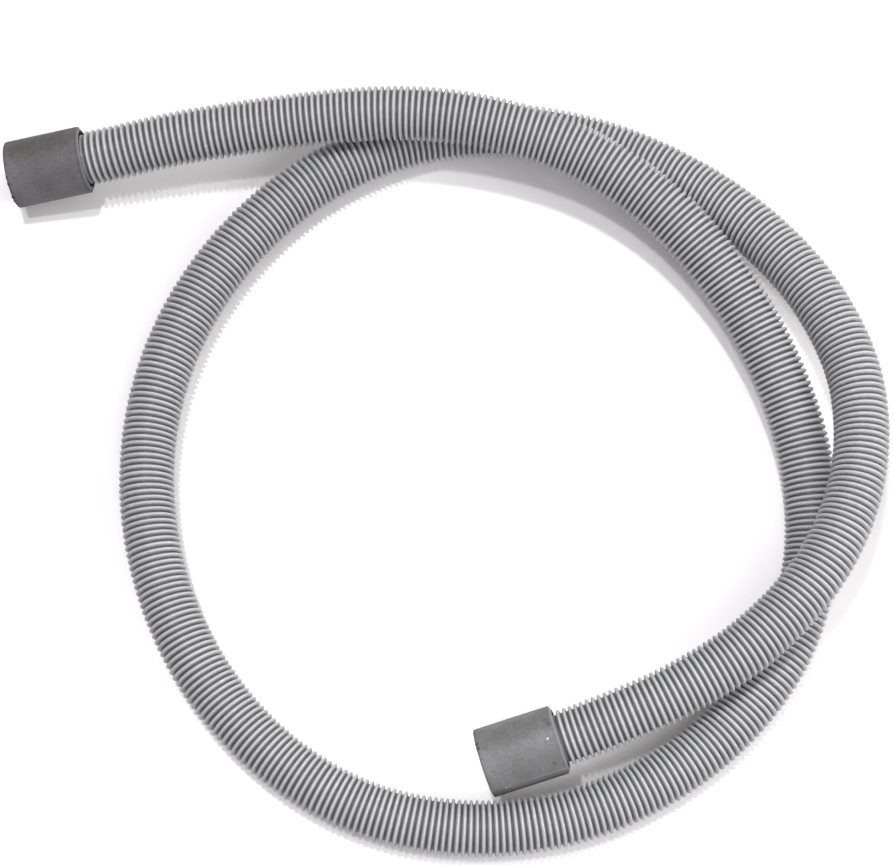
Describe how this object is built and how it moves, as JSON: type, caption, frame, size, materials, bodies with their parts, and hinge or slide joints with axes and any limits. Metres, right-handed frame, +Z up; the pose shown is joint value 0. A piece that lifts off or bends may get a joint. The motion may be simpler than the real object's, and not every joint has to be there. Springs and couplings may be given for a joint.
{
  "type": "washing machine drain hose",
  "caption": "Long grey corrugated plastic drain hose with a plain rubber cuff on each end, lying in loose crossing loops.",
  "frame": {"origin": "middle of the floor area that the hose covers, on the floor", "axes": "+Z up from the floor, +X across the width of the loops, from the pump end cuff's side to the outer loop's side"},
  "size_m": [0.3632, 0.3185, 0.0476],
  "materials": {
    "tube_plastic": "satin moulded polypropylene",
    "dark_rubber": "matt moulded rubber",
    "grey_rubber": "matt moulded rubber"
  },
  "bodies": {
    "root": {"corrugated_tube": "tube_plastic", "pump_end_cuff": "dark_rubber", "waste_end_cuff": "grey_rubber"}
  },
  "joints": []
}
